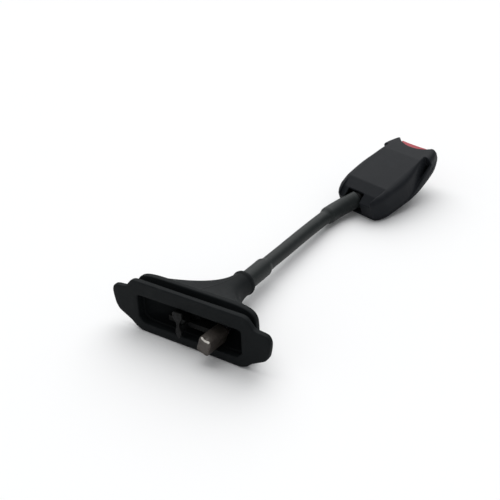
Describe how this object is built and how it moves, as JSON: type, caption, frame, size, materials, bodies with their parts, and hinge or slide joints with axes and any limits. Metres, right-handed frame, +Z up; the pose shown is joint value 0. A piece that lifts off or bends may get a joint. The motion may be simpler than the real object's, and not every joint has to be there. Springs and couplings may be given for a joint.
{
  "type": "seat belt buckle",
  "caption": "Seat belt buckle head on a sleeved wire-rope stalk, with a flared rubber boot round its anchor end.",
  "frame": {"origin": "on the table, under the middle of the part's box", "axes": "+Z up from the table, +Y along the buckle head towards its tongue mouth, +X to the right seen from behind the head"},
  "size_m": [0.131, 0.292, 0.0401],
  "materials": {
    "boot_rubber": "matt",
    "sleeve_plastic": "satin",
    "cover_plastic": "satin, fine grain",
    "button_red": "satin",
    "ejector_plastic": "satin",
    "bare_steel": "satin",
    "black_steel": "satin",
    "spring_steel": "drawn wire"
  },
  "bodies": {
    "casing": {"rubber_boot": "boot_rubber", "anchor_ferrule": "bare_steel", "anchor_plate": "black_steel", "wire_rope": "bare_steel", "lower_crimp": "bare_steel", "cable_sleeve": "sleeve_plastic", "rope_eye": "bare_steel", "frame_rivet": "bare_steel", "upper_cover": "cover_plastic", "lower_cover": "cover_plastic", "frame": "bare_steel", "latch_pin": "bare_steel", "ejector_spring": "spring_steel", "button_spring_left": "spring_steel", "button_spring_right": "spring_steel"},
    "button": {"release_button": "button_red"},
    "lock": {"lock_slide": "bare_steel"},
    "ejector_fork": {"ejector": "ejector_plastic"},
    "latch": {"latch_plate": "bare_steel", "latch_spring": "spring_steel"}
  },
  "joints": [
    {"name": "button_push", "type": "slide", "parent": "casing", "child": "button", "axis": [0, -0.9686, -0.2487], "range_m": [0, 0.006], "stiffness_N_per_m": 500, "springref_m": -0.003, "deforming": ["button_spring_left", "button_spring_right"]},
    {"name": "lock_slide_run", "type": "slide", "parent": "casing", "child": "lock", "axis": [0, -0.9686, -0.2487], "range_m": [0, 0.006]},
    {"name": "ejector_run", "type": "slide", "parent": "casing", "child": "ejector_fork", "axis": [0, -0.9686, -0.2487], "range_m": [0, 0.011], "stiffness_N_per_m": 200, "springref_m": -0.004, "deforming": ["ejector_spring"]},
    {"name": "latch_swing", "type": "hinge", "parent": "casing", "child": "latch", "pos_m": [-0.03844, 0.1009, 0.02072], "axis": [1, 0, 0], "range_deg": [-12, 0]}
  ],
  "couplings": [
    {"joint": "lock_slide_run", "follows": "button_push", "ratio": 1},
    {"joint": "latch_swing", "follows": "ejector_run", "rad_per_m": -19}
  ]
}
